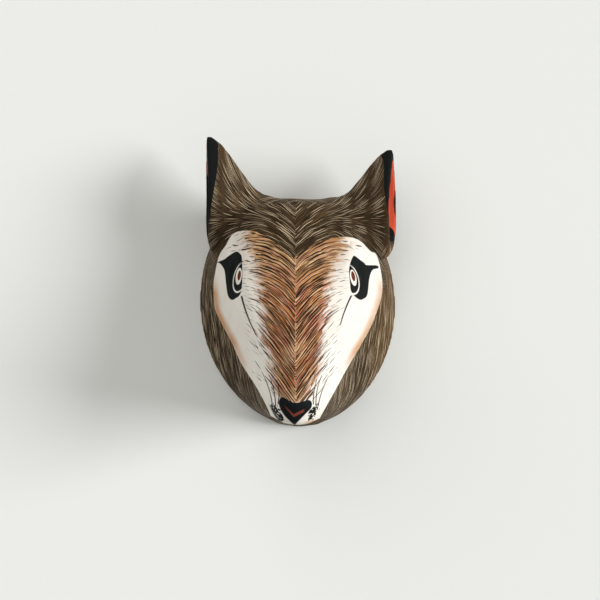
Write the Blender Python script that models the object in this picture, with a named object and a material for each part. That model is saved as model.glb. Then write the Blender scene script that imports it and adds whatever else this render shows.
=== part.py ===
"""A wall mask in the shape of an anteater's head, carved from one block of light wood.

The block is lofted over four lines that a carver would draw on it: the ridge down the middle,
the crease beside the bridge of the snout, the cheek line and the outline of the flat back.
The ears, eyes and nose pad are worked on that block, and the back is scooped out.

Frame: metres. +X is the viewer's right, +Y runs from chin to crown, +Z from the flat back to
the nose. The mask lies on its back, with the origin under the middle of its box.
"""

import math

import bmesh
import bpy
from mathutils import Vector
from mathutils.bvhtree import BVHTree

# Head
HEAD_WIDTH = 0.196  # across the cheeks, at the flat back
HEAD_LENGTH = 0.2255  # crown to chin, at the flat back
HEAD_DEPTH = 0.162  # flat back to the top of the nose
WIDEST_AT = 0.54  # height of the widest place, as a share of the length
CROWN_FLATNESS = 3.0  # 2 is an ellipse; more leaves the outline flatter between the ears
CHIN_FLATNESS = 1.82  # 2 is an ellipse; less draws the outline in towards the chin
LEAN_SHARE = 0.03  # how much higher the hand-carved left side sits, for each metre across

# Hollow back, with its nail notch
WALL = 0.013  # width of the flat rim around the hollow
SNOUT_SOLID = 0.062  # wood left between the hollow's bottom and the height of the nose
HOLLOW_TAPER = 0.62  # 1 is a cone; less is a rounder bowl
NOTCH_WIDTH = 0.012
NOTCH_HEIGHT = 0.006
NOTCH_DEPTH = 0.010

# Ears
EAR_LENGTH = 0.1045  # right ear, along its open side
LEFT_EAR_EXTRA = 0.007  # the left one is cut this much longer
EAR_HALF_DEPTH = 0.0215  # half the width of the open side, seen from the side
EAR_FOOT_BELOW_CROWN = 0.057  # where the open side ends, beside the temple
EAR_MIDDLE_HEIGHT = 0.050  # of the open side above the flat back
RIGHT_EAR_OUT = 0.0915  # the open side's middle, from the centre plane
LEFT_EAR_OUT = 0.0860
RIGHT_EAR_TURN = math.radians(14)  # how far the open side faces forward
LEFT_EAR_TURN = math.radians(8)
EAR_RIM = 0.0045  # thickness of the edge around the scooped inside
EAR_SCOOP = 0.013  # depth of the scoop
EAR_FOOT_TUCK = 0.006  # how far the foot bends in to the temple
EAR_TUCK_FROM = 0.16  # share of the ear's length where that bend starts
EAR_BLEND = 0.018  # radius of the hollow curve from the ear into the forehead
EAR_BLEND_SHARE = 0.8  # 1 rounds the corner fully; less leaves a light crease

# Eyes and nose
EYE_LENGTH = 0.019  # eyeball, along the snout
EYE_WIDTH = 0.014  # eyeball, down the cheek
EYE_BULGE = 0.0022  # how far it stands out of its socket
SOCKET_LENGTH = 0.036
SOCKET_WIDTH = 0.024
SOCKET_DEPTH = 0.0026
LEFT_EYE_STATION = 4.88  # where the eyes are along the stations below
RIGHT_EYE_STATION = 4.76
EYE_DOWN_CHEEK = 0.20  # share of the way from the crease to the cheek line
NOSE_WIDTH = 0.030
NOSE_LENGTH = 0.029
NOSE_RAISE = 0.0014  # how far the pad stands out of the snout

# Stations from crown to chin. Each gives the ridge (y, z), the crease and the cheek line
# (x, y, z) and the outline's y. x is a share of half the width, y of the length above the
# chin and z of the depth. On the first and the last one the outline sets y.
STATIONS = (
    # ridge             crease                  cheek line              outline
    ((1.000, 0.000), (0.286, 1.000, 0.000), (0.530, 1.000, 0.000), 0.895),
    ((1.000, 0.235), (0.316, 0.995, 0.222), (0.612, 0.946, 0.185), 0.814),
    ((0.978, 0.432), (0.388, 0.966, 0.407), (0.694, 0.894, 0.296), 0.743),
    ((0.911, 0.549), (0.469, 0.885, 0.512), (0.776, 0.823, 0.321), 0.672),
    ((0.792, 0.623), (0.520, 0.765, 0.574), (0.816, 0.734, 0.296), 0.592),
    ((0.659, 0.698), (0.520, 0.627, 0.611), (0.832, 0.619, 0.259), 0.517),
    ((0.512, 0.790), (0.439, 0.494, 0.691), (0.786, 0.486, 0.235), 0.424),
    ((0.370, 0.880), (0.316, 0.361, 0.796), (0.663, 0.361, 0.284), 0.322),
    ((0.255, 0.957), (0.224, 0.246, 0.889), (0.490, 0.246, 0.420), 0.224),
    ((0.180, 1.000), (0.184, 0.175, 0.948), (0.378, 0.175, 0.556), 0.149),
    ((0.122, 0.969), (0.163, 0.124, 0.922), (0.296, 0.122, 0.642), 0.100),
    ((0.069, 0.901), (0.117, 0.073, 0.858), (0.230, 0.086, 0.667), 0.069),
    ((0.073, 0.710), (0.107, 0.073, 0.691), (0.199, 0.078, 0.568), 0.049),
    ((0.069, 0.370), (0.107, 0.067, 0.370), (0.204, 0.064, 0.309), 0.033),
    ((0.000, 0.000), (0.092, 0.000, 0.000), (0.184, 0.000, 0.000), 0.021),
)
ROWS_PER_STATION = 4

# How far each corner of a section is rounded, from the outline's side to the ridge
CHEEK_ROUNDING = 0.016
CREASE_ROUNDING = 0.0065
RIDGE_ROUNDING = 0.022
ARC_STEPS = 4
FLAT_STEPS = 2

# An ear's sections from foot to tip: height, half depth and inward reach, as shares of the
# ear's length, of its half depth and of its length
EAR_SECTIONS = (
    (0.000, 0.20, 0.09),
    (0.100, 0.58, 0.30),
    (0.230, 0.86, 0.52),
    (0.390, 1.00, 0.57),
    (0.490, 1.00, 0.50),
    (0.555, 0.96, 0.45),
    (0.630, 0.88, 0.392),
    (0.740, 0.70, 0.302),
    (0.855, 0.46, 0.209),
    (0.940, 0.26, 0.130),
    (1.000, 0.05, 0.050),
)
EAR_STEPS = 10  # points round half a section
SECTIONS_PER_STATION = 2

OVERLAP = 0.004  # how far a cutter runs past what it cuts
ROUND_STEPS = 48
FUR_BROWN = (0.118, 0.084, 0.051, 1.0)


def through(points, t):
    """The point at t on a smooth curve through points, where point i is at t = i."""
    last = len(points) - 1
    i = min(int(t), last - 1)
    f = t - i
    a = points[max(i - 1, 0)]
    b = points[i]
    c = points[i + 1]
    d = points[min(i + 2, last)]
    return 0.5 * (2 * b + (c - a) * f + (2 * a - 5 * b + 4 * c - d) * f**2 + (3 * b - a - 3 * c + d) * f**3)


def outline_x(share):
    """Half the width of the flat back at a share of the length above the chin."""
    if share > WIDEST_AT:
        t = (share - WIDEST_AT) / (1 - WIDEST_AT)
        return HEAD_WIDTH / 2 * max(0.0, 1 - t**2) ** (1 / CROWN_FLATNESS)
    t = 1 - share / WIDEST_AT
    return HEAD_WIDTH / 2 * max(0.0, 1 - t**2) ** (1 / CHIN_FLATNESS)


def outline_y(x, crown):
    """The y of the flat back's edge above or below the widest place."""
    t = min(1.0, abs(x) / (HEAD_WIDTH / 2))
    if crown:
        return HEAD_LENGTH * (WIDEST_AT + (1 - WIDEST_AT) * (1 - t**CROWN_FLATNESS) ** 0.5)
    return HEAD_LENGTH * WIDEST_AT * (1 - (1 - t**CHIN_FLATNESS) ** 0.5)


def sized(share):
    """A station's share of the half width, the length and the depth as a point."""
    x, y, z = share
    return Vector((x * HEAD_WIDTH / 2, y * HEAD_LENGTH, z * HEAD_DEPTH))


RIDGE = [sized((0, *station[0])) for station in STATIONS]
CREASE = [sized(station[1]) for station in STATIONS]
CHEEK = [sized(station[2]) for station in STATIONS]
OUTLINE = [Vector((station[3], 0, 0)) for station in STATIONS]


def mirrored(point):
    return Vector((-point.x, point.y, point.z))


def rounded(corners, roundings):
    """Points along a line through corners, each inner one replaced by an arc of its rounding."""
    points = [corners[0]]
    previous = corners[0]
    for i in range(1, len(corners) - 1):
        corner = corners[i]
        back = corners[i - 1] - corner
        ahead = corners[i + 1] - corner
        start = corner + back.normalized() * min(roundings[i - 1], 0.45 * back.length)
        end = corner + ahead.normalized() * min(roundings[i - 1], 0.45 * ahead.length)
        points += [previous.lerp(start, k / FLAT_STEPS) for k in range(1, FLAT_STEPS)]
        for k in range(ARC_STEPS + 1):
            t = k / ARC_STEPS
            points.append(start.lerp(corner, t).lerp(corner.lerp(end, t), t))
        previous = end
    points += [previous.lerp(corners[-1], k / FLAT_STEPS) for k in range(1, FLAT_STEPS + 1)]
    return points


def head_row(t):
    """One section of the head, from the left of the outline over the ridge to the right."""
    share = through(OUTLINE, t).x
    edge = Vector((outline_x(share), share * HEAD_LENGTH, 0))
    right = [edge, through(CHEEK, t), through(CREASE, t)]
    last = len(STATIONS) - 1
    corners = [mirrored(p) for p in right] + [through(RIDGE, t)] + right[::-1]
    side = [CHEEK_ROUNDING, CREASE_ROUNDING]
    row = rounded(corners, [*side, RIDGE_ROUNDING, *side[::-1]])
    if t in (0, last):
        for p in row:
            p.y = outline_y(p.x, crown=t == 0)
            p.z = 0
    return row


def head_rows():
    count = (len(STATIONS) - 1) * ROWS_PER_STATION
    return [head_row(k / ROWS_PER_STATION) for k in range(count + 1)]


def loft(name, rows, collection, closed_rows=False):
    """A solid over rows of points. Open rows make a dome on a flat face; closed ones a tube."""
    bm = bmesh.new()
    grid = [[bm.verts.new(p) for p in row] for row in rows]
    width = len(rows[0])
    spans = width if closed_rows else width - 1
    for near, far in zip(grid, grid[1:]):
        for i in range(spans):
            j = (i + 1) % width
            bm.faces.new((near[i], near[j], far[j], far[i]))
    if closed_rows:
        bm.faces.new(grid[0])
        bm.faces.new(grid[-1])
    else:
        left = [row[0] for row in grid[1:-1]]
        right = [row[-1] for row in grid[1:-1]]
        bm.faces.new(grid[0] + right + grid[-1][::-1] + left[::-1])
    bmesh.ops.recalc_face_normals(bm, faces=bm.faces)
    return new_object(name, bm, collection)


def new_object(name, bm, collection):
    mesh = bpy.data.meshes.new(name)
    bm.to_mesh(mesh)
    bm.free()
    obj = bpy.data.objects.new(name, mesh)
    collection.objects.link(obj)
    return obj


def cutter(obj):
    obj.hide_render = True
    obj.display_type = "WIRE"
    return obj


def combine(target, other, operation):
    modifier = target.modifiers.new(other.name, "BOOLEAN")
    modifier.operation = operation
    modifier.object = other
    cutter(other)


def ear_section(share, shrink=0.0, depth=None):
    """Half depth and inward reach of an ear at a share of its length, less a rim all round."""
    table = [Vector(section) for section in EAR_SECTIONS]
    last = len(table) - 1
    i = max(k for k in range(last) if table[k].x <= share)
    f = (share - table[i].x) / (table[i + 1].x - table[i].x)
    found = through(table, i + f)
    half = found.y * EAR_HALF_DEPTH - shrink
    reach = found.z * EAR_LENGTH if depth is None else depth
    return half, reach


def ear_place(side):
    """Foot, length, distance out and turn of the ear on that side."""
    foot = HEAD_LENGTH - EAR_FOOT_BELOW_CROWN
    if side > 0:
        return foot, EAR_LENGTH, RIGHT_EAR_OUT, RIGHT_EAR_TURN
    return foot, EAR_LENGTH + LEFT_EAR_EXTRA, LEFT_EAR_OUT, LEFT_EAR_TURN


def ear_ring(side, share, half, inward, outward):
    """Section of an ear or of its scoop: a half ellipse inward, closed by a curve outward."""
    foot, length, out, turn = ear_place(side)
    lateral = Vector((side * math.cos(turn), 0, math.sin(turn)))
    across = Vector((-side * math.sin(turn), 0, math.cos(turn)))
    tuck = EAR_FOOT_TUCK * max(0.0, 1 - share / EAR_TUCK_FROM) ** 2
    middle = Vector((side * (out - tuck), foot + share * length, EAR_MIDDLE_HEIGHT))
    ring = []
    for k in range(2 * EAR_STEPS):
        angle = math.pi * k / EAR_STEPS
        reach = inward if k < EAR_STEPS else outward
        ring.append(middle + across * half * math.cos(angle) - lateral * reach * math.sin(angle))
    return ring


def ear(side, collection):
    """A pointed ear with a flat open side that faces outward and a little forward."""
    rows = []
    count = (len(EAR_SECTIONS) - 1) * SECTIONS_PER_STATION
    flat = EAR_RIM / 4
    for k in range(count + 1):
        i, step = divmod(k, SECTIONS_PER_STATION)
        ahead = EAR_SECTIONS[min(i + 1, len(EAR_SECTIONS) - 1)][0]
        share = EAR_SECTIONS[i][0] + (ahead - EAR_SECTIONS[i][0]) * step / SECTIONS_PER_STATION
        half, reach = ear_section(share)
        rows.append(ear_ring(side, share, half, reach, min(flat, half)))
    return loft("ear", rows, collection, closed_rows=True)


def ear_scoop(side, collection):
    """What is hollowed out of an ear's open side, a leaf shape inside its rim."""
    rows = []
    first, last, count = 0.09, 0.90, 16
    for k in range(count + 1):
        share = first + (last - first) * k / count
        swell = math.sin(math.pi * k / count) ** 0.6
        half, _ = ear_section(share, shrink=EAR_RIM)
        half = max(half, EAR_RIM / 8) * max(swell, 0.15)
        rows.append(ear_ring(side, share, half, EAR_SCOOP * max(swell, 0.1), OVERLAP))
    return loft("ear_scoop", rows, collection, closed_rows=True)


def blend(head, ears):
    """Swells head and ears towards each other, so that each ear grows out of a hollow curve.

    Each rises along its own normals by the height of an arc of EAR_BLEND that touches both.
    """
    trees = {}
    for obj in (head, *ears):
        bm = bmesh.new()
        bm.from_mesh(obj.data)
        trees[obj] = BVHTree.FromBMesh(bm)
        bm.free()
    meet = EAR_BLEND * (1 - math.sqrt(0.5))
    for obj in (head, *ears):
        others = [trees[ear] for ear in ears] if obj is head else [trees[head]]
        moves = []
        for v in obj.data.vertices:
            gap = max(meet, min(distance_to(tree, v.co) for tree in others))
            if gap < EAR_BLEND and v.co.z > OVERLAP:
                rise = EAR_BLEND - math.sqrt(EAR_BLEND**2 - (EAR_BLEND - gap) ** 2)
                open_side = 0.0 if obj is head else max(0.0, v.normal.x * math.copysign(1, v.co.x))
                above_foot = (v.co.y - (HEAD_LENGTH - EAR_FOOT_BELOW_CROWN)) / EAR_BLEND
                fade = min(1.0, v.co.z / EAR_BLEND) * min(1.0, max(0.0, above_foot))
                fade *= EAR_BLEND_SHARE * max(0.0, 1 - 2 * open_side)
                moves.append((v, v.normal * rise * fade))
        for v, move in moves:
            v.co += move


def distance_to(tree, point):
    """How far point is outside a closed surface, or 0 inside it."""
    nearest, normal, _, distance = tree.find_nearest(point)
    return distance if (point - nearest).dot(normal) > 0 else 0.0


def eye_frame(side):
    """Where an eye's middle lies on the cheek, with the ways along, down and out of it."""
    t = RIGHT_EYE_STATION if side > 0 else LEFT_EYE_STATION
    step = 0.1
    middle = through(CREASE, t).lerp(through(CHEEK, t), EYE_DOWN_CHEEK)
    down = (through(CHEEK, t) - through(CREASE, t)).normalized()
    along = through(CREASE, t + step) - through(CREASE, t - step)
    out = along.cross(down).normalized()
    if out.z < 0:
        out.negate()
    along = down.cross(out).normalized()
    if side < 0:
        middle, along, down, out = (mirrored(v) for v in (middle, along, down, out))
    return middle, along, down, out


def lens(name, side, length, width, height, lift, collection):
    """A flattened ball on the cheek, lift above its surface, for a socket or an eyeball."""
    middle, along, down, out = eye_frame(side)
    bm = bmesh.new()
    bmesh.ops.create_uvsphere(bm, u_segments=20, v_segments=10, radius=1)
    for v in bm.verts:
        x, y, z = v.co
        v.co = middle + along * x * length / 2 + down * y * width / 2 + out * (z * height + lift)
    bm.normal_update()
    bmesh.ops.recalc_face_normals(bm, faces=bm.faces)
    return new_object(name, bm, collection)


def eye_socket(side, collection):
    """The hollow that an eye lies in, cut by a ball that reaches SOCKET_DEPTH under the cheek."""
    height = 3 * SOCKET_DEPTH
    share = math.sqrt(1 - (2 / 3) ** 2)  # the ball's outline where it meets the cheek
    size = (SOCKET_LENGTH / share, SOCKET_WIDTH / share, height)
    return lens("eye_socket", side, *size, height - SOCKET_DEPTH, collection)


def eyeball(side, collection):
    height = EYE_BULGE + SOCKET_DEPTH
    return lens("eyeball", side, EYE_LENGTH, EYE_WIDTH, height, EYE_BULGE - height, collection)


def heart_outline():
    """The nose pad's outline about its middle: two lobes on top and a point below."""
    points = []
    for k in range(ROUND_STEPS):
        a = 2 * math.pi * k / ROUND_STEPS
        x = math.sin(a) * (1 - 0.38 * (1 - math.cos(a)) / 2)
        y = math.cos(a) * 0.86 - 0.20 * math.exp(-((math.sin(a) / 0.32) ** 2)) * (math.cos(a) > 0)
        points.append((x * NOSE_WIDTH / 2, y * NOSE_LENGTH / 2))
    return points


def nose_pad(collection):
    """The raised nose: a heart-shaped bar, trimmed to the snout's surface moved outward."""
    top = through(RIDGE, 9)
    bottom = through(RIDGE, 11)
    middle = top.lerp(bottom, 0.5)
    up = (top - bottom).normalized()
    out = Vector((1, 0, 0)).cross(up)
    right = Vector((1, 0, 0))
    rows = []
    for reach in (-NOSE_LENGTH / 2, NOSE_LENGTH / 2):
        rows.append([middle + right * x + up * y + out * reach for x, y in heart_outline()])
    pad = loft("nose_pad", rows, collection, closed_rows=True)
    combine(pad, proud_snout(collection), "INTERSECT")
    return pad


def proud_snout(collection):
    """The head's surface moved outward by the nose pad's height."""
    obj = loft("proud_snout", head_rows(), collection)
    bm = bmesh.new()
    bm.from_mesh(obj.data)
    moves = [(v, v.normal * NOSE_RAISE) for v in bm.verts]
    for v, move in moves:
        v.co += move
    bm.to_mesh(obj.data)
    bm.free()
    return cutter(obj)


def hollow(collection):
    """The scooped back: the outline less the rim, drawn in to a point at the hollow's bottom."""
    depth = HEAD_DEPTH - SNOUT_SOLID
    middle_y = WIDEST_AT * HEAD_LENGTH
    across = HEAD_WIDTH / 2 - WALL
    up = (1 - WIDEST_AT) * HEAD_LENGTH - WALL
    down = WIDEST_AT * HEAD_LENGTH - WALL
    levels = 14
    rows = []
    for level in range(-1, levels):
        z = depth * math.sin(math.pi / 2 * max(level, 0) / levels)
        size = max(0.02, 1 - z / depth) ** HOLLOW_TAPER
        ring = []
        for k in range(ROUND_STEPS):
            a = 2 * math.pi * k / ROUND_STEPS
            power = 2 / (CROWN_FLATNESS if math.sin(a) > 0 else CHIN_FLATNESS)
            x = across * math.copysign(abs(math.cos(a)) ** power, math.cos(a))
            y = (up if math.sin(a) > 0 else down) * math.sin(a)
            ring.append(Vector((x * size, middle_y + y * size, z if level >= 0 else -OVERLAP)))
        rows.append(ring)
    return loft("hollow", rows, collection, closed_rows=True)


def nail_notch(collection):
    """A square notch under the crown's rim, where the mask hangs on a nail."""
    bm = bmesh.new()
    bmesh.ops.create_cube(bm, size=1)
    ceiling = HEAD_LENGTH - WALL + NOTCH_HEIGHT
    tall = NOTCH_HEIGHT + WALL
    deep = NOTCH_DEPTH + OVERLAP
    for v in bm.verts:
        x = v.co.x * NOTCH_WIDTH
        y = ceiling + (v.co.y - 0.5) * tall + LEAN_SHARE * x  # level again once the mask leans
        v.co = Vector((x, y, NOTCH_DEPTH + (v.co.z - 0.5) * deep))
    return new_object("nail_notch", bm, collection)


def evaluated_copy(obj, name, collection):
    """A new object with obj's mesh as its modifiers leave it."""
    graph = bpy.context.evaluated_depsgraph_get()
    mesh = bpy.data.meshes.new_from_object(obj.evaluated_get(graph))
    copy = bpy.data.objects.new(name, mesh)
    collection.objects.link(copy)
    return copy


def lean_and_centre(obj):
    """Sets the left side a little higher, and the origin under the middle of the box."""
    mesh = obj.data
    for v in mesh.vertices:
        v.co.y -= LEAN_SHARE * v.co.x
    for axis in (0, 1):
        places = [v.co[axis] for v in mesh.vertices]
        middle = (min(places) + max(places)) / 2
        for v in mesh.vertices:
            v.co[axis] -= middle


def fur_material():
    material = bpy.data.materials.new("painted_fur")
    material.use_nodes = True
    shader = material.node_tree.nodes["Principled BSDF"]
    shader.inputs["Base Color"].default_value = FUR_BROWN
    shader.inputs["Roughness"].default_value = 0.55
    shader.inputs["Metallic"].default_value = 0.0
    return material


def main():
    for obj in list(bpy.data.objects):
        bpy.data.objects.remove(obj)
    parts = bpy.data.collections.new("anteater_mask")
    cutters = bpy.data.collections.new("cutters")
    for collection in (parts, cutters):
        bpy.context.scene.collection.children.link(collection)

    block = loft("block", head_rows(), cutters)
    ears = [ear(side, cutters) for side in (-1, 1)]
    blend(block, ears)
    combine(block, nose_pad(cutters), "UNION")
    for side, blended_ear in zip((-1, 1), ears):
        combine(block, blended_ear, "UNION")
        combine(block, ear_scoop(side, cutters), "DIFFERENCE")
        combine(block, eye_socket(side, cutters), "DIFFERENCE")
        combine(block, eyeball(side, cutters), "UNION")
    combine(block, hollow(cutters), "DIFFERENCE")
    combine(block, nail_notch(cutters), "DIFFERENCE")

    mask = evaluated_copy(block, "mask", parts)
    cutter(block)
    lean_and_centre(mask)
    mask.data.materials.clear()
    mask.data.materials.append(fur_material())
    mask.data.shade_smooth()
    mask.data.set_sharp_from_angle(angle=math.radians(35))


main()
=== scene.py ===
"""The look of the anteater mask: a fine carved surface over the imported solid, painted all over.

The painting is one material. What it needs to know of a place on the mask, such as how far
inside the white face it lies, is worked out here for each vertex and stored as an attribute.
All places are in millimetres in the mask's own frame: X right, Y from chin to crown, Z up out
of the flat back. "Seen" means as the camera sees it, scaled to the plane of the back, with u to
the right and v upward.
"""

import math

import bpy
import numpy as np
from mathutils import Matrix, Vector


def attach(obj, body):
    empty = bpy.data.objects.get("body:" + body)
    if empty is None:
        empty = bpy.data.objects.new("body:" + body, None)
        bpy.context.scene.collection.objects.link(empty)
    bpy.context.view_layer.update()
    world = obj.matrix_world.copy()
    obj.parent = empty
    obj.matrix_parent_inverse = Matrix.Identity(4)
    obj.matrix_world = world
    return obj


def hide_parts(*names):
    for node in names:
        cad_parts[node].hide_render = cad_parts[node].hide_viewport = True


MM = 0.001

# The camera looks down on the lying mask from nearly straight above
CAMERA_HEIGHT = 1300.0
CAMERA_AIM = (2.5, -14.6)
CAMERA_ASIDE = 12.0
VIEW_WIDTH = 600.0  # millimetres across the picture at the back's plane
SENSOR_WIDTH = 36.0

# Fine surface
VOXEL = 1.6
SMOOTHING = 5
JOIN_SMOOTHING = 25  # extra rounds where an ear grows out of the forehead
JOIN = ((54, 72), (84, 44))  # there, from and to, on both sides
JOIN_REACH = 12
FOOT_SMOOTHING = 14  # and where its foot meets the temple
FOOT = ((86, 18), (86, 40))
FOOT_REACH = 9
TIP_GROWTH = 1.6  # what the smoothing takes off an ear's tip
CORNER_LIFT = 2.4  # the crown's corner by the right ear is this much higher
CORNER_X = 36
CORNER_REACH = 13

# Sizes of the solid that the surface and the painting follow
HEAD_WIDTH = 196.0
HEAD_LENGTH = 225.5
CHIN_Y = -141.3
LEAN = 0.03  # the left side sits higher, by this share of the distance from the middle
WIDEST_AT = 0.54
CHIN_FLATNESS = 1.82
WALL = 13.0
HOLLOW_DEPTH = 100.0
HOLLOW_TAPER = 0.62
EAR_FOOT_Y = HEAD_LENGTH - 57.0 + CHIN_Y
EAR_HALF_DEPTH = 21.5
EAR_MIDDLE_HEIGHT = 50.0
EARS = {
    # side: length, distance out, turn forward in degrees
    1: (104.5, 91.5, 14.0),
    -1: (111.5, 86.0, 8.0),
}
EAR_HALVES = (
    # share of the ear's length, share of its half depth
    (0, 0.2), (0.1, 0.58), (0.23, 0.86), (0.38, 1), (0.48, 1), (0.62, 0.88), (0.73, 0.7),
    (0.85, 0.46), (1, 0.05),
)

# Gouge marks in the hollow back, in rings from its mouth to its bottom
GOUGE_SEED = 4
GOUGE_SPACING = 11.0
GOUGE_DEPTH = 0.7
MOUTH_GIRTH = 560
MOUTH_HALVES = (85, 97)  # half its width, half its height
MOUTH_MIDDLE_Y = -18

# Paint inside the ears
EAR_OPEN_FROM = 66  # open sides lie further out than this
FRONT_RIM = 4.8  # black rim before the red
RED_INSIDES = {
    # side: from and to as shares of the length, slant of the lower end, black rim behind
    1: (0.06, 0.91, 0.029, 4.4),
    # The left ear is red near its tip only; below that its inside is painted black, painted shade
    -1: (0.68, 0.97, 0.0, 5.7),
}
LINED_FROM = 0.17  # the black lining starts at this share of the length
LINED_RIMS = (1.5, 4.5)  # what it leaves free behind and before
EAR_GUIDE_LIMIT = 9

# The nail notch with a margin, painted as bare wood
NOTCH_HALF_WIDTH = 9
NOTCH_YS = (55, 80)
NOTCH_TOP = 13

# Where the white face ends under the chin
THROAT_Y = -102
THROAT_Z = 84

# Painted areas as seen from the front, each a smooth closed line through these points
WHITE_FACE = (
    (-1, 29), (-6.5, 28.5), (-12.5, 33), (-24.5, 44.5), (-40.5, 53.5), (-56.5, 54.5),
    (-65.5, 50.5), (-71.5, 40.5), (-78.5, 29.5), (-82.5, 12), (-84, 0), (-82.5, -22.5),
    (-75.5, -38.5), (-65.5, -57.5), (-56.5, -77.5), (-42.5, -99.5), (-31.5, -119.5),
    (-25.5, -133), (-18, -146), (0, -150), (19, -146), (20.5, -136.5), (28.5, -121.5),
    (38.5, -103.5), (50.5, -81.5), (64.5, -57.5), (74.5, -38.5), (83.5, -12.5), (84.5, 5.5),
    (79.5, 29.5), (72.5, 34.5), (62.5, 44.5), (50.5, 48.5), (34.5, 47.5), (18.5, 42.5),
    (7.5, 34.5),
)
LEFT_PATCH = (
    (-81, 23), (-73.5, 26), (-69, 29.5), (-62.5, 33.5), (-59.5, 33.5), (-56.5, 30.5),
    (-55.5, 26), (-55.2, 10), (-56, -4.5), (-58.5, -10.5), (-61.5, -12.6), (-65.5, -14.6),
    (-69.5, -10.6), (-71.5, 1.5), (-72.9, 14), (-75.5, 19.5), (-78.5, 22.5),
)
RIGHT_PATCH = (
    (57.2, 29.6), (55.2, 28.5), (52.5, 21.5), (51.5, 14.5), (52.5, 2.5), (53.5, -5.6),
    (57.5, -11.2), (61.5, -14), (64.5, -14.2), (69, -11.2), (70.5, -5.6), (71.5, 4.5),
    (73, 11.5), (75.5, 15.8), (80.5, 17), (81.3, 18), (79, 20), (68.9, 20.4), (66.9, 22.4),
    (62, 26),
)
NOSE = (
    (-16.1, -111.6), (-18.5, -116), (-18, -121.3), (-13.5, -129.6), (-6, -137.2),
    (-2.8, -139.4), (0.3, -136.4), (8.5, -128), (13.6, -122.6), (14.4, -117.3), (11.5, -114.6),
    (6.5, -115.6), (0.3, -117.3), (-5.9, -116.6), (-11, -113.6),
)
NOSE_FROM_Z = 138
LEFT_EAR_BAND = (
    (-90.3, 45), (-89.5, 55.4), (-87.5, 70.4), (-84.5, 90.4), (-81, 110.4), (-79.4, 125.4),
    (-79.5, 136), (-82, 152), (-104, 154), (-104, 45),
)
RIGHT_EAR_BAND = (
    (97.5, 43), (96.4, 49), (94.5, 55), (92.8, 60.8), (90.4, 72.7), (88.2, 84.5), (86.6, 96.3),
    (86.3, 108), (86.4, 119), (85.6, 125), (83.2, 131), (84, 140), (104, 142), (104, 41),
)
STRIP_HALVES = (
    # seen height, half width of the orange strip there
    (-140, -20), (-122, -9), (-116, 8), (-110, 14), (-94, 20), (-54, 28), (5, 35), (24, 40),
    (34, 45), (52, 50),
)

# Ellipses as seen: middle, half sizes, and tilt in degrees
EYES = {
    # side: outer ring, inner ring, pupil
    -1: (
        ((-57.0, 8.4), (6.5, 15.5), 15), ((-58.8, 9.1), (3.0, 8.5), 8),
        ((-58.3, 9.9), (1.6, 5.0), 8),
    ),
    1: (
        ((53.4, 6.0), (7.5, 15.0), -15), ((55.8, 7.6), (3.0, 8.2), -12),
        ((55.7, 9.2), (1.8, 5.2), -12),
    ),
}
LEFT_DOTS = ((-21.6, -127.8), (4.9, 10.5), -28)
RIGHT_DOTS = ((15.8, -127.0), (3.6, 8.8), 26)
CHIN_BLUSH = ((14.0, -137.0), (8.5, 2.8), -12)
CROWN_SLIVER = ((6.0, 49.0), (8.0, 5.5), 0)  # this one in x and z

# Single lines as seen: both ends, and u half way
EYE_LINE_WIDTH = 1.2
EYE_LINES = (
    (((-56, -10.6), (-39.5, -53)), -49.5),
    (((54, -10), (42.5, -41)), 47.2),
)
WHISKER_WIDTH = 0.7
WHISKERS = (
    (((-25, -122), (-36.5, -85)), -28.6),
    (((-22, -121), (-29, -88)), -23.8),
    (((-19.5, -119), (-21, -93)), -18.6),
    (((16, -119), (20, -92)), 16.6),
    (((18.5, -120), (25, -88)), 19.8),
    (((20.5, -121), (31.5, -90)), 24.6),
)

# The red mark on the nose, a V with its point here and its arms as steep as this
MARK_POINT = (-3.8, -130.3)
MARK_SLOPES = (-1.05, 0.5)

# Hair flow on the forehead: chevrons that rise to a crest and part there, down round the white
# face and up into the ears
MIDLINE = -2.0  # the chevrons meet along this line
CREST = 44.0  # how far out from the midline the hairs stop rising
PARTING_FOOT = 44.0  # seen height at which the parting leaves the midline
SPREAD = 0.045  # how fast the hairs beyond the crest spread, per millimetre outward

# Shifts of the hairs across their flow on the left side, so that the sides are painted apart
FRONT_SHIFT = 171.3
EAR_SHIFT = 512.0
SIDE_SHIFT = 157.1
SEED_SHIFT = 0.37  # and of each layer of strokes, times its seed

# Colours, as light sees them
WHITE = (0.84, 0.81, 0.76)
WHITE_SHADE = (0.70, 0.63, 0.55)
BLACK = (0.010, 0.012, 0.012)
NOSE_BLACK = (0.011, 0.014, 0.017)
NOSE_RED = (0.23, 0.055, 0.04)
EAR_RED = (0.62, 0.095, 0.045)
EYE_BROWN = (0.13, 0.028, 0.016)
FUR_DARK = (0.022, 0.014, 0.007)
FUR_BROWN = (0.052, 0.034, 0.019)
FUR_TAN = (0.23, 0.135, 0.058)
FUR_CREAM = (0.78, 0.64, 0.45)
STRIP_ORANGE = (0.47, 0.185, 0.062)
STRIP_PINK = (0.50, 0.165, 0.115)
STRIP_BROWN = (0.15, 0.065, 0.03)
STRIP_TAN = (0.42, 0.25, 0.12)
STRIP_CREAM = (0.84, 0.60, 0.36)
HAIR_BLACK = (0.022, 0.014, 0.010)
PEACH = (0.58, 0.32, 0.16)
BARE_WOOD = (0.56, 0.38, 0.24)
WOOD_GRAIN = (0.40, 0.25, 0.15)
CROWN_WOOD = (0.56, 0.37, 0.29)
FLOOR = (0.88, 0.915, 0.915)
SKY = (1.0, 0.97, 0.92)
SKY_STRENGTH = 0.30


def node_points(mesh):
    flat = np.empty(len(mesh.vertices) * 3)
    mesh.vertices.foreach_get("co", flat)
    return flat.reshape(-1, 3)


def node_normals(mesh):
    flat = np.empty(len(mesh.vertices) * 3)
    mesh.vertices.foreach_get("normal", flat)
    return flat.reshape(-1, 3)


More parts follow.
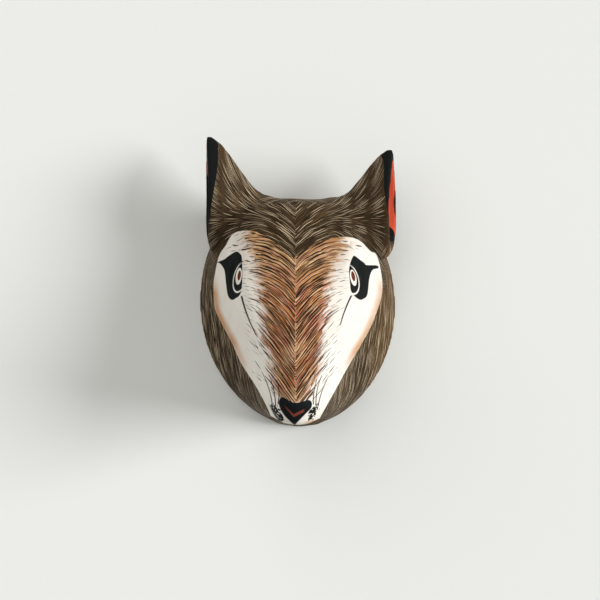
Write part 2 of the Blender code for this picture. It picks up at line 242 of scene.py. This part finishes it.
def node_edges(mesh):
    flat = np.empty(len(mesh.edges) * 2, int)
    mesh.edges.foreach_get("vertices", flat)
    return flat.reshape(-1, 2)


def move_points(mesh, p):
    mesh.vertices.foreach_set("co", (p * MM).ravel())
    mesh.update()


def smooth(points, edges, rounds, weight=None):
    """Moves each point towards the mean of its neighbours, by half or by its weight."""
    count = len(points)
    a, b = edges[:, 0], edges[:, 1]
    degree = np.bincount(a, minlength=count) + np.bincount(b, minlength=count)
    share = 0.5 if weight is None else weight[:, None]
    for _ in range(rounds):
        total = np.zeros_like(points)
        for axis in range(3):
            total[:, axis] = np.bincount(a, points[b, axis], count)
            total[:, axis] += np.bincount(b, points[a, axis], count)
        points = points + (total / degree[:, None] - points) * share
    return points


def step(low, high, value):
    t = np.clip((value - low) / (high - low), 0, 1)
    return t * t * (3 - 2 * t)


def bell(distance, reach):
    return np.exp(-((distance / reach) ** 2))


def to_segment(points, a, b):
    """Distance of each point to the line from a to b, in any number of dimensions."""
    a, b = np.array(a, float), np.array(b, float)
    along = np.clip((points - a) @ (b - a) / ((b - a) @ (b - a)), 0, 1)
    return np.linalg.norm(points - a - along[:, None] * (b - a), axis=1)


def closed_curve(points, steps=5):
    """Points along a smooth closed line through the given ones."""
    p = np.array(points, float)
    out = []
    for i in range(len(p)):
        a, b, c, d = p[i - 1], p[i], p[(i + 1) % len(p)], p[(i + 2) % len(p)]
        bend = 2 * a - 5 * b + 4 * c - d
        twist = 3 * b - a - 3 * c + d
        for k in range(steps):
            f = k / steps
            out.append(0.5 * (2 * b + (c - a) * f + bend * f**2 + twist * f**3))
    return np.array(out)


def inside_by(points, outline):
    """How far each point is inside an outline; negative outside."""
    curve = closed_curve(outline)
    nearest = np.full(len(points), 1e9)
    inside = np.zeros(len(points), bool)
    x, y = points[:, 0], points[:, 1]
    for a, b in zip(curve, np.roll(curve, -1, axis=0)):
        nearest = np.minimum(nearest, to_segment(points, a, b))
        crosses = (a[1] > y) != (b[1] > y)
        if a[1] != b[1]:
            inside ^= crosses & (x < (b[0] - a[0]) * (y - a[1]) / (b[1] - a[1]) + a[0])
    return np.where(inside, nearest, -nearest)


def seen(p):
    """Where the camera sees each point, in millimetres on the plane of the back."""
    eye_x = CAMERA_AIM[0] + CAMERA_ASIDE
    scale = CAMERA_HEIGHT / (CAMERA_HEIGHT - p[:, 2])
    u = eye_x + (p[:, 0] - eye_x) * scale
    v = CAMERA_AIM[1] + (p[:, 1] - CAMERA_AIM[1]) * scale
    return np.stack([u, v], axis=1)


def hollow_depth_in(p, margin):
    """Above 0 for points inside the scooped back, widened by a margin."""
    size = np.clip(1 - p[:, 2] / HOLLOW_DEPTH, 0.001, 1) ** HOLLOW_TAPER
    y = p[:, 1] - (CHIN_Y + WIDEST_AT * HEAD_LENGTH) + LEAN * p[:, 0]
    across = (HEAD_WIDTH / 2 - WALL) * size + margin
    up = ((1 - WIDEST_AT) * HEAD_LENGTH - WALL) * size + margin
    down = (WIDEST_AT * HEAD_LENGTH - WALL) * size + margin
    above = 1 - (np.abs(p[:, 0]) / across) ** 3 - (y / up) ** 2
    below = 1 - (np.abs(p[:, 0]) / across) ** CHIN_FLATNESS - (y / down) ** 2
    return np.where(y > 0, above, below)


def smoothed(p, edges):
    """The surface without the steps of its voxels, softer round the ears' feet."""
    p = smooth(p, edges, SMOOTHING)
    folded = np.stack([np.abs(p[:, 0]), p[:, 1]], axis=1)
    near_join = bell(to_segment(folded, *JOIN), JOIN_REACH) * step(20, 40, p[:, 2])
    p = smooth(p, edges, JOIN_SMOOTHING, 0.5 * near_join)
    near_foot = bell(to_segment(folded, *FOOT), FOOT_REACH) * step(12, 25, p[:, 2])
    p = smooth(p, edges, FOOT_SMOOTHING, 0.5 * near_foot)
    p[:, 1] += CORNER_LIFT * bell(p[:, 0] - CORNER_X, CORNER_REACH) * step(40, 80, p[:, 1])
    for side, (length, _, _) in EARS.items():
        share = (p[:, 1] - EAR_FOOT_Y) / length
        p[:, 1] += TIP_GROWTH * step(0.7, 1, share) * (p[:, 0] * side > 0)
    return p


def gouge_marks():
    """Middles of the gouge marks in the hollow back."""
    random = np.random.default_rng(GOUGE_SEED)
    marks = []
    for height in np.arange(6, HOLLOW_DEPTH, GOUGE_SPACING * 0.8):
        size = (1 - height / HOLLOW_DEPTH) ** HOLLOW_TAPER
        count = max(3, int(size * MOUTH_GIRTH / GOUGE_SPACING))
        for k in range(count):
            angle = 2 * math.pi * (k + random.uniform(0, 0.7)) / count
            x = math.cos(angle) * MOUTH_HALVES[0] * size
            y = math.sin(angle) * MOUTH_HALVES[1] * size + MOUTH_MIDDLE_Y
            marks.append((x, y, height + random.uniform(-3, 3)))
    return np.array(marks)


def carve(mesh):
    """Smooths the even surface and works the gouge marks into the hollow back."""
    p = smoothed(node_points(mesh) / MM, node_edges(mesh))
    move_points(mesh, p)
    normals = node_normals(mesh)
    marks = gouge_marks()
    where = np.flatnonzero(hollow_depth_in(p, 2.5) > 0)
    for chunk in np.array_split(where, 40):
        gaps = np.linalg.norm((p[chunk, None] - marks[None]) * (1, 1, 0.7), axis=2)
        nearest = gaps.min(axis=1)
        dip = GOUGE_DEPTH * (1 - np.clip(nearest / (GOUGE_SPACING * 0.75), 0, 1) ** 2)
        fade = step(1.5, 6, p[chunk, 2])
        p[chunk] -= normals[chunk] * (dip * fade)[:, None]
    move_points(mesh, p)


def ear_local(p, side):
    """Along, outward and across coordinates of points in an ear's own frame, and which way is
    outward."""
    length, out, turn = EARS[side]
    turn = math.radians(turn)
    lateral = np.array([side * math.cos(turn), 0, math.sin(turn)])
    across = np.array([-side * math.sin(turn), 0, math.cos(turn)])
    middle = np.array([side * out, EAR_FOOT_Y - LEAN * side * out, EAR_MIDDLE_HEIGHT])
    q = p - middle
    return q[:, 1] / length, q @ lateral, q @ across, lateral


def ear_guides(p, n):
    """How far in the red insides of the ears and their black linings each point is; on the left
    ear the lining also fills the inside below the red, as painted shade.
    """
    red = np.full(len(p), -EAR_GUIDE_LIMIT, float)
    lining_and_shade = red.copy()

    def widened(area, depth, where):
        depth = np.clip(depth, -EAR_GUIDE_LIMIT, EAR_GUIDE_LIMIT)
        return np.where(where, np.maximum(area, depth), area)

    for side, (red_from, red_to, slant, back_rim) in RED_INSIDES.items():
        share, out, across, lateral = ear_local(p, side)
        half = np.interp(share, *zip(*EAR_HALVES)) * EAR_HALF_DEPTH
        open_side = (p[:, 0] * side > EAR_OPEN_FROM) & (n @ lateral > 0.1) & (out > -15)
        behind = across < 0
        inner = np.maximum(half - np.where(behind, back_rim, FRONT_RIM), half * 0.3)
        rise = np.clip(slant * (across + half), 0, 0.36)
        ends = np.minimum(share - red_from - rise, red_to - share) * 60
        red = widened(red, np.minimum(inner - np.abs(across), ends), open_side)
        lined = half - np.where(behind, *LINED_RIMS)
        ends = (share - LINED_FROM) * 60
        lining_and_shade = widened(lining_and_shade, np.minimum(lined - np.abs(across), ends), open_side)
    return {"red": red, "lining_and_shade": lining_and_shade}


def back_guide(p, n):
    """1 where the wood is bare: in the hollow, on the flat rim and in the nail notch."""
    x, y, z = p.T
    hollow = step(-0.02, 0.06, hollow_depth_in(p, 4.0)) * (z < HOLLOW_DEPTH + 4)
    rim = step(1.6, 0.6, z) * step(-0.3, -0.8, n[:, 2])
    notch = (np.abs(x) < NOTCH_HALF_WIDTH) & (z < NOTCH_TOP)
    notch &= (y > NOTCH_YS[0]) & (y < NOTCH_YS[1])
    return np.maximum(np.maximum(hollow, rim), notch)


def hair_guides(p, n, u, v):
    """Hair directions, s along the hairs and t across them, and the share of each direction."""
    x, y, z = p.T
    d = np.abs(u - MIDLINE)
    low_down = step(30, -40, v)
    steep = 1 + 0.4 * low_down
    front_t = v - steep * d + d**2 / (2 * CREST) * (1 - 0.65 * low_down)
    # Beside the crest each hair keeps its share of a width that grows outward
    distances = np.arange(0.0, 130.0)
    growth = np.cumsum(SPREAD * step(CREST / 2, CREST + 6, distances))
    growth = np.interp(d, distances, growth)
    nearer = np.minimum(d, CREST)
    above = v - PARTING_FOOT - nearer + nearer**2 / (2 * CREST)
    # Fur that follows the sides: the crown behind, beside the face, and all that is low
    crown = step(0.5, 0.9, n[:, 1]) * step(78, 60, z)
    beside = step(-2, 10, np.abs(u) - 84 + 0.3 * np.maximum(0, v - 20)) * step(46, 34, v)
    down = np.maximum(beside, step(10, -10, v))
    in_ear = step(CREST * 0.55, CREST, d) * (1 - down)
    return {
        "front_s": d * 1.15,
        "front_t": front_t,
        "ear_s": growth / math.log(2),
        "ear_t": above / np.exp(growth),
        "side_s": -y * 0.9 - z * 0.35,
        "side_t": (np.abs(x) - z) * 0.75 + 0.10 * y,
        "in_ear": in_ear,
        "in_side": np.maximum(down, crown * (1 - in_ear)),
    }


def paint_guides(mesh):
    """Stores what the paint needs to know about each vertex."""
    p = node_points(mesh) / MM
    n = node_normals(mesh)
    uv = seen(p)
    u, v = uv[:, 0], uv[:, 1]
    x, y, z = p.T
    arch = 0.03 * np.minimum(np.abs(x), 20) ** 2
    under_chin = z - THROAT_Z - arch + 5 * np.maximum(0, y - THROAT_Y)
    strip_middle = -3 + 2 * step(0, 50, v)
    guides = {
        "u": u,
        "v": v,
        "x": x,
        "y": y,
        "z": z,
        "white": np.minimum(inside_by(uv, WHITE_FACE), under_chin),
        "patch": np.maximum(inside_by(uv, LEFT_PATCH), inside_by(uv, RIGHT_PATCH)),
        "nose": np.minimum(inside_by(uv, NOSE), z - NOSE_FROM_Z),
        "strip": np.interp(v, *zip(*STRIP_HALVES)) - np.abs(u - strip_middle),
        "band": np.maximum(inside_by(uv, LEFT_EAR_BAND), inside_by(uv, RIGHT_EAR_BAND)),
        "back": back_guide(p, n),
        **ear_guides(p, n),
        **hair_guides(p, n, u, v),
    }
    for name, values in guides.items():
        attribute = mesh.attributes.new(name, "FLOAT", "POINT")
        attribute.data.foreach_set("value", np.asarray(values, np.float32))


class Value:
    """A socket that can be written into a formula, so that shader maths reads like maths."""

    tree = None

    def __init__(self, socket):
        self.socket = socket

    @classmethod
    def maths(cls, operation, *inputs):
        node = cls.tree.nodes.new("ShaderNodeMath")
        node.operation = operation
        for slot, given in zip(node.inputs, inputs):
            feed(slot, given)
        return cls(node.outputs[0])

    def __add__(self, other):
        return self.maths("ADD", self, other)

    def __sub__(self, other):
        return self.maths("SUBTRACT", self, other)

    def __rsub__(self, other):
        return self.maths("SUBTRACT", other, self)

    def __mul__(self, other):
        return self.maths("MULTIPLY", self, other)

    def __truediv__(self, other):
        return self.maths("DIVIDE", self, other)

    def floor(self):
        return self.maths("FLOOR", self)

    def abs(self):
        return self.maths("ABSOLUTE", self)

    def power(self, exponent):
        return self.maths("POWER", self, exponent)

    def least(self, other):
        return self.maths("MINIMUM", self, other)

    def most(self, other):
        return self.maths("MAXIMUM", self, other)

    def below(self, other):
        return self.maths("LESS_THAN", self, other)


def feed(slot, given):
    """Gives a node's input a formula's value or a plain number."""
    if isinstance(given, Value):
        Value.tree.links.new(given.socket, slot)
    else:
        slot.default_value = given


def ramp(value, low, high):
    """0 below low, 1 above high and smooth between; low may be the larger."""
    node = Value.tree.nodes.new("ShaderNodeMapRange")
    node.interpolation_type = "SMOOTHSTEP"
    for name, given in (("Value", value), ("From Min", low), ("From Max", high)):
        feed(node.inputs[name], given)
    return Value(node.outputs["Result"])


def guide(name):
    node = Value.tree.nodes.new("ShaderNodeAttribute")
    node.attribute_name = name
    return Value(node.outputs["Fac"])


def vector(x, y, z):
    node = Value.tree.nodes.new("ShaderNodeCombineXYZ")
    for slot, given in zip(node.inputs, (x, y, z)):
        feed(slot, given)
    return node.outputs[0]


def noise(where, scale, detail):
    node = Value.tree.nodes.new("ShaderNodeTexNoise")
    node.inputs["Scale"].default_value = scale
    node.inputs["Detail"].default_value = detail
    Value.tree.links.new(where, node.inputs["Vector"])
    return Value(node.outputs["Fac"])


def random_of(x, y, z):
    """Three random values for a place."""
    node = Value.tree.nodes.new("ShaderNodeTexWhiteNoise")
    node.noise_dimensions = "3D"
    Value.tree.links.new(vector(x, y, z), node.inputs["Vector"])
    parts = Value.tree.nodes.new("ShaderNodeSeparateColor")
    Value.tree.links.new(node.outputs["Color"], parts.inputs[0])
    return [Value(socket) for socket in parts.outputs]


def over(below, above, share):
    """The colour above laid over the one below, by a share."""
    node = Value.tree.nodes.new("ShaderNodeMix")
    node.data_type = "RGBA"
    sockets = [s for s in node.inputs if s.type == "RGBA"]
    for slot, given in zip(sockets, (below, above)):
        if isinstance(given, tuple):
            slot.default_value = (*given, 1.0)
        else:
            Value.tree.links.new(given, slot)
    feed(node.inputs[0], share)
    return next(s for s in node.outputs if s.type == "RGBA")


def stroke_group(spreading=False):
    """A node group that lays tapered brush strokes in rows: it gives their cover and a random
    tone.

    Where the rows spread, s counts the doublings of their width, and each cell of a doubling has
    twice the rows of the one before.
    """
    group = bpy.data.node_groups.new("brush_strokes", "ShaderNodeTree")
    names = ("S", "T", "Row", "Length", "Width", "Density", "Seed")
    for name in names:
        group.interface.new_socket(name, in_out="INPUT", socket_type="NodeSocketFloat")
    for name in ("Cover", "Tone"):
        group.interface.new_socket(name, in_out="OUTPUT", socket_type="NodeSocketFloat")
    outer = Value.tree
    Value.tree = group
    source = group.nodes.new("NodeGroupInput")
    s, t, row, length, width, density, seed = (Value(source.outputs[name]) for name in names)
    # Each stroke has a cell of its own, k across the flow and c along it
    if spreading:
        along = s / length + seed * SEED_SHIFT
        c = along.floor()
        across = t / row * Value.maths("POWER", 2.0, (c - seed * SEED_SHIFT) * length)
        k = across.floor()
    else:
        across = t / row + seed * SEED_SHIFT
        k = across.floor()
        along = s / length + random_of(k, seed, 3.1)[0] * 7.3
        c = along.floor()
    f = across - k - 0.5
    g = along - c
    a, b, pick = random_of(k, c, seed)
    if spreading:
        g = (g - b * 0.35) / 0.65
    centre = (a - 0.5) * 0.42 + (b - 0.5) * 0.95 * (g - 0.5)
    taper = (g * (1 - g) * 4).most(0.0).power(0.7)
    half = width * (b * 0.9 + 0.55) * taper
    cover = ramp(half - (f - centre).abs(), -0.02, 0.06) * pick.below(density)
    sink = group.nodes.new("NodeGroupOutput")
    for name, value in (("Cover", cover), ("Tone", a)):
        group.links.new(value.socket, sink.inputs[name])
    Value.tree = outer
    return group


def strokes(group, s, t, **settings):
    """Cover and tone of one layer of strokes."""
    node = Value.tree.nodes.new("ShaderNodeGroup")
    node.node_tree = group
    for name, given in {"S": s, "T": t, **settings}.items():
        feed(node.inputs[name], given)
    return [Value(socket) for socket in node.outputs]


def fur(group, s, t, seed, row, length, pale):
    """Brown fur: dark and tan hairs under thin cream ones."""

    def layer(height, reach, width, density, change):
        return strokes(
            group, s, t, Row=height * row, Length=reach * length, Width=width, Density=density,
            Seed=seed + change,
        )

    dark, _ = layer(2.4, 20.0, 0.36, 0.85, 0)
    tan, tone = layer(1.9, 20.0, 0.2, 0.6, 1)
    cream, shade = layer(2.5, 19.0, 0.125, 0.9 * pale, 2)
    more, depth = layer(2.9, 23.0, 0.105, 0.8 * pale, 3.5)
    colour = over(FUR_BROWN, FUR_DARK, dark * 0.95)
    colour = over(colour, FUR_TAN, tan * (tone * 0.5 + 0.1))
    colour = over(colour, FUR_CREAM, cream * (shade * 0.7 + 0.3))
    return over(colour, FUR_CREAM, more * (depth * 0.7 + 0.3))


def ellipse(x, y, middle, size, tilt):
    """1 on an ellipse's edge, less inside; tilt in degrees turns its top to the right."""
    turn = math.radians(tilt)
    dx, dy = x - middle[0], y - middle[1]
    across = (dx * math.cos(turn) - dy * math.sin(turn)) / size[0]
    along = (dx * math.sin(turn) + dy * math.cos(turn)) / size[1]
    return (across * across + along * along).power(0.5)


def line(u, v, ends, middle_u, width):
    """Cover of a thin, tapering line between two points, bowed to pass middle_u half way."""
    (u0, v0), (u1, v1) = ends
    f = (v - v0) / (v1 - v0)
    bow = middle_u - (u0 + u1) / 2
    path = f * (u1 - u0) + u0 + f * (1 - f) * (4 * bow)
    half = (1.2 - f * 0.6) * width
    within = ramp(f, -0.02, 0.02) * ramp(f, 1.02, 0.9)
    return ramp((u - path).abs(), half, half * 0.35) * within


def lines(u, v, table, width):
    """Cover of all the lines of a table."""
    cover, *others = (line(u, v, *entry, width) for entry in table)
    for other in others:
        cover = cover.most(other)
    return cover


def paint_fur(front, u, v):
    """Fur on the forehead, in the ears and down the sides."""
    colour = fur(**front, seed=11.0, row=0.9, length=1.0, pale=0.43)
    left = u.below(0.0)
    fan = stroke_group(spreading=True)
    ear_t = guide("ear_t") + left * EAR_SHIFT
    ears = fur(fan, guide("ear_s"), ear_t, seed=21.3, row=0.52, length=1 / 18, pale=0.85)
    side_t = guide("side_t") + left * SIDE_SHIFT
    sides = fur(
        front["group"], guide("side_s"), side_t, seed=31.0, row=1.0, length=1.0, pale=0.6
    )
    # The fur on the right side is lightened with tan: painted light on the side that faces the
    # light
    sides = over(sides, FUR_TAN, ramp(u, 60, 90) * 0.22)
    colour = over(colour, sides, guide("in_side"))
    # The ears' fur is darkened towards their feet: painted shade where they grow out of the head
    ears = over(ears, FUR_DARK, ramp(v, 90, 60) * 0.42)
    return over(colour, ears, guide("in_ear"))


def paint_white(v, white, blotch):
    """White face with a peach streak inside its edge."""
    streak = ramp(white, -0.4, 0.6) * ramp(white, 8.0, 1.0)
    streak = streak * ramp(v, -92, -60) * ramp(v, 12, -10)
    face = over(WHITE, WHITE_SHADE, ramp(blotch, 0.35, 0.8) * 0.35)
    return over(face, PEACH, streak * (blotch * 1.1 + 0.3))


def paint_strip(face, front, u, v, blotch, ragged):
    """Orange strip under long black hairs."""
    hair, tone = strokes(**front, Row=4.0, Length=25.0, Width=0.19, Density=1.0, Seed=41.0)
    bold, _ = strokes(**front, Row=4.7, Length=20.0, Width=0.18, Density=0.9, Seed=46.0)
    pale, glow = strokes(**front, Row=3.1, Length=18.0, Width=0.26, Density=0.8, Seed=42.0)
    blush, warmth = strokes(**front, Row=4.6, Length=26.0, Width=0.5, Density=0.85, Seed=43.0)
    thin, _ = strokes(**front, Row=3.1, Length=17.0, Width=0.19, Density=0.85, Seed=44.0)
    tick, _ = strokes(**front, Row=4.6, Length=8.0, Width=0.12, Density=0.6, Seed=45.0)
    edge = guide("strip") + (ragged - 0.5) * 5 + (glow - 0.5) * 9
    body = over(STRIP_ORANGE, STRIP_PINK, blush * ramp(warmth, 0.45, 0.55))
    body = over(body, STRIP_BROWN, blush * ramp(warmth, 0.4, 0.3) * 0.8)
    body = over(body, STRIP_TAN, ramp(v, -30, 40) * 0.7)
    body = over(body, STRIP_BROWN, ramp(v, -20, -60) * 0.35)
    body = over(body, STRIP_CREAM, ramp(blotch, 0.45, 0.75) * 0.35)
    body = over(body, STRIP_CREAM, pale * (glow * 0.6 + 0.3))
    face = over(face, STRIP_TAN, ramp(edge, -20, -2) * ramp(v, -10, 30) * 0.3)
    face = over(face, body, ramp(edge, -7, 5))
    # The bolder hairs are all along the left, and on the right only lower down
    bold = bold * ramp(edge, -1, 4) * ramp(v, 45, 5).most(u.below(MIDLINE))
    seam = ramp((u - MIDLINE).abs() + (ragged - 0.5) * 9, -0.6, 1.0)
    black_hair = hair.most(thin * 0.85) * ramp(edge + (tone - 0.5) * 14, -5, -1)
    pale_side = ramp(u, 22, 45) * ramp(v, -10, 20) * 0.5
    face = over(face, HAIR_BLACK, black_hair.most(bold) * seam * (1 - pale_side))
    near_strip = ramp(edge, -24, -12) * ramp(v, -104, -92)
    return over(face, HAIR_BLACK, tick * 0.9 * near_strip * ramp(edge, 2, -4))


def paint_eyes(u, v):
    """A black patch with two white rings round a brown pupil on each side."""
    left = u.below(0.0)
    eyes = BLACK
    for side, (outer, inner, pupil) in EYES.items():
        mine = left if side < 0 else 1 - left
        ring = ramp((ellipse(u, v, *outer) - 1).abs(), 0.085, 0.03)
        middle_v = outer[0][1]
        ring = ring * ramp(v, middle_v + 17, middle_v + 9)  # it is open at its top
        eyes = over(eyes, WHITE, ring * mine)
        eyes = over(eyes, WHITE, ramp(ellipse(u, v, *inner), 1.06, 0.94) * mine)
        eyes = over(eyes, EYE_BROWN, ramp(ellipse(u, v, *pupil), 1.08, 0.92) * mine)
    return eyes


def paint_whiskers(face, place, u, v, z):
    """Lines from the inner corners of the eyes, whiskers, their dots and a blush on the chin."""
    cover = lines(u, v, EYE_LINES, EYE_LINE_WIDTH)
    cover = cover.most(lines(u, v, WHISKERS, WHISKER_WIDTH) * 0.95)
    face = over(face, HAIR_BLACK, cover)
    gaps = noise(place, 0.42, 0.0) + (1 - u.below(0.0)) * 0.06
    cluster = ellipse(u, v, *LEFT_DOTS).least(ellipse(u, v, *RIGHT_DOTS))
    cluster = cluster + (noise(place, 0.3, 0.0) - 0.5) * 1.2
    dots = ramp(cluster, 1.1, 0.95) * ramp(gaps, 0.7, 0.66) * ramp(z, 122, 130)
    face = over(face, BLACK, dots)
    return over(face, PEACH, ramp(ellipse(u, v, *CHIN_BLUSH), 1.3, 0.4) * 0.7)


def paint_nose(u, v):
    """Black nose with a red mark, dimmer at its left."""
    nose = over(BLACK, NOSE_BLACK, 0.5)
    beside = u - MARK_POINT[0]
    rise = (beside * MARK_SLOPES[0]).most(beside * MARK_SLOPES[1])
    mark = ramp((v - MARK_POINT[1] - rise).abs(), 1.9, 1.0)
    mark = mark * ramp((u + 3.0).abs(), 11.0, 8.0)
    return over(nose, NOSE_RED, mark * (ramp(u, -13, -4) * 0.6 + 0.4))


def paint():
    """The whole painted surface as one material."""
    material = bpy.data.materials.new("painted_wood")
    material.use_nodes = True
    tree = material.node_tree
    Value.tree = tree
    u, v = guide("u"), guide("v")
    x, y, z = guide("x"), guide("y"), guide("z")
    white = guide("white")
    place = vector(x, y, z)
    blotch = noise(place, 0.06, 3.0)
    ragged = noise(place, 0.6, 2.0)
    front_t = guide("front_t") + u.below(MIDLINE) * FRONT_SHIFT + (blotch - 0.5) * 4.5
    front = {"group": stroke_group(), "s": guide("front_s"), "t": front_t}

    face = paint_white(v, white, blotch)
    face = paint_strip(face, front, u, v, blotch, ragged)
    face = over(face, paint_eyes(u, v), ramp(guide("patch"), -0.25, 0.25))
    face = paint_whiskers(face, place, u, v, z)
    face = over(face, paint_nose(u, v), ramp(guide("nose"), -0.25, 0.25))
    in_white = ramp(white + (ragged - 0.5) * 0.7, -0.3, 0.3)
    colour = over(paint_fur(front, u, v), face, in_white)

    # Ears: a black band and lining, and a red inside; on the left ear the black below the red is
    # painted shade
    colour = over(colour, BLACK, ramp(guide("band").most(guide("lining_and_shade")), -0.3, 0.3))
    colour = over(colour, EAR_RED, ramp(guide("red"), -0.2, 0.4))

    # Bare wood in the back, and a sliver of it on the crown
    grain = noise(vector(x * 3.0, y * 0.25, z * 3.0), 0.5, 4.0)
    wood = over(BARE_WOOD, WOOD_GRAIN, ramp(grain, 0.35, 0.75) * 0.7)
    colour = over(colour, wood, guide("back"))
    sliver = ramp(ellipse(x, z, *CROWN_SLIVER), 1.1, 0.8) * ramp(v, 80, 82)
    colour = over(colour, CROWN_WOOD, sliver)

    shader = tree.nodes["Principled BSDF"]
    tree.links.new(colour, shader.inputs["Base Color"])
    shader.inputs["Roughness"].default_value = 0.5
    shader.inputs["Specular IOR Level"].default_value = 0.02
    bump = tree.nodes.new("ShaderNodeBump")
    bump.inputs["Strength"].default_value = 0.15
    bump.inputs["Distance"].default_value = 0.0004
    tree.links.new(noise(place, 0.9, 3.0).socket, bump.inputs["Height"])
    tree.links.new(bump.outputs[0], shader.inputs["Normal"])
    return material


def carved_mask(node):
    """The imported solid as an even, fine mesh with its carving and paint."""
    obj = bpy.data.objects.new("carved_mask", node.data.copy())
    bpy.context.scene.collection.objects.link(obj)
    even = obj.modifiers.new("even", "REMESH")
    even.mode = "VOXEL"
    even.voxel_size = VOXEL * MM * 1.0
    graph = bpy.context.evaluated_depsgraph_get()
    mesh = bpy.data.meshes.new_from_object(obj.evaluated_get(graph))
    obj.modifiers.clear()
    obj.data = mesh
    carve(mesh)
    paint_guides(mesh)
    mesh.materials.clear()
    mesh.materials.append(paint())
    mesh.shade_smooth()
    return obj


def floor():
    bpy.ops.mesh.primitive_plane_add(size=8.0, location=(0, 0, 0))
    obj = bpy.context.object
    obj.name = "floor"
    material = bpy.data.materials.new("pale_floor")
    material.use_nodes = True
    shader = material.node_tree.nodes["Principled BSDF"]
    shader.inputs["Base Color"].default_value = (*FLOOR, 1.0)
    shader.inputs["Roughness"].default_value = 0.9
    obj.data.materials.append(material)
    return obj


def light(name, toward, spread, strength, colour):
    """A broad, far light that shines from one direction and is spread over some degrees."""
    data = bpy.data.lights.new(name, "SUN")
    data.angle = math.radians(spread)
    data.energy = strength
    data.color = colour
    obj = bpy.data.objects.new(name, data)
    bpy.context.scene.collection.objects.link(obj)
    obj.location = toward
    obj.rotation_euler = Vector(toward).to_track_quat("Z", "Y").to_euler()


def camera():
    data = bpy.data.cameras.new("camera")
    data.sensor_width = SENSOR_WIDTH
    data.lens = SENSOR_WIDTH * CAMERA_HEIGHT / VIEW_WIDTH
    obj = bpy.data.objects.new("camera", data)
    bpy.context.scene.collection.objects.link(obj)
    aim_x, aim_y = CAMERA_AIM
    obj.location = ((aim_x + CAMERA_ASIDE) * MM, aim_y * MM, CAMERA_HEIGHT * MM)
    obj.rotation_euler = (0, math.atan2(CAMERA_ASIDE, CAMERA_HEIGHT), 0)
    bpy.context.scene.camera = obj


def studio():
    scene = bpy.context.scene
    scene.view_settings.view_transform = "Standard"
    world = bpy.data.worlds.new("studio")
    world.use_nodes = True
    scene.world = world
    background = world.node_tree.nodes["Background"]
    background.inputs["Color"].default_value = (*SKY, 1.0)
    background.inputs["Strength"].default_value = SKY_STRENGTH
    light(
        "key", toward=(2.0, 0.22, 1.0), spread=26.0, strength=2.95, colour=(1.0, 0.98, 0.95)
    )
    light(
        "fill", toward=(-0.75, 0.75, 0.9), spread=80.0, strength=1.14, colour=(1.0, 0.96, 0.90)
    )


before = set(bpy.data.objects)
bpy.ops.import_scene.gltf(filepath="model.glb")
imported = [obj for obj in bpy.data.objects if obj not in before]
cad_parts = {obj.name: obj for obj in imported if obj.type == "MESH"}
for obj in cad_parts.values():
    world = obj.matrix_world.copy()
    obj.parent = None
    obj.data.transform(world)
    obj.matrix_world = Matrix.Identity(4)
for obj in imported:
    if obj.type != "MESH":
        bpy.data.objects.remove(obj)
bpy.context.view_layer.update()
mask = carved_mask(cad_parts["mask"])
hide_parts("mask")
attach(mask, "root")
floor()
studio()
camera()
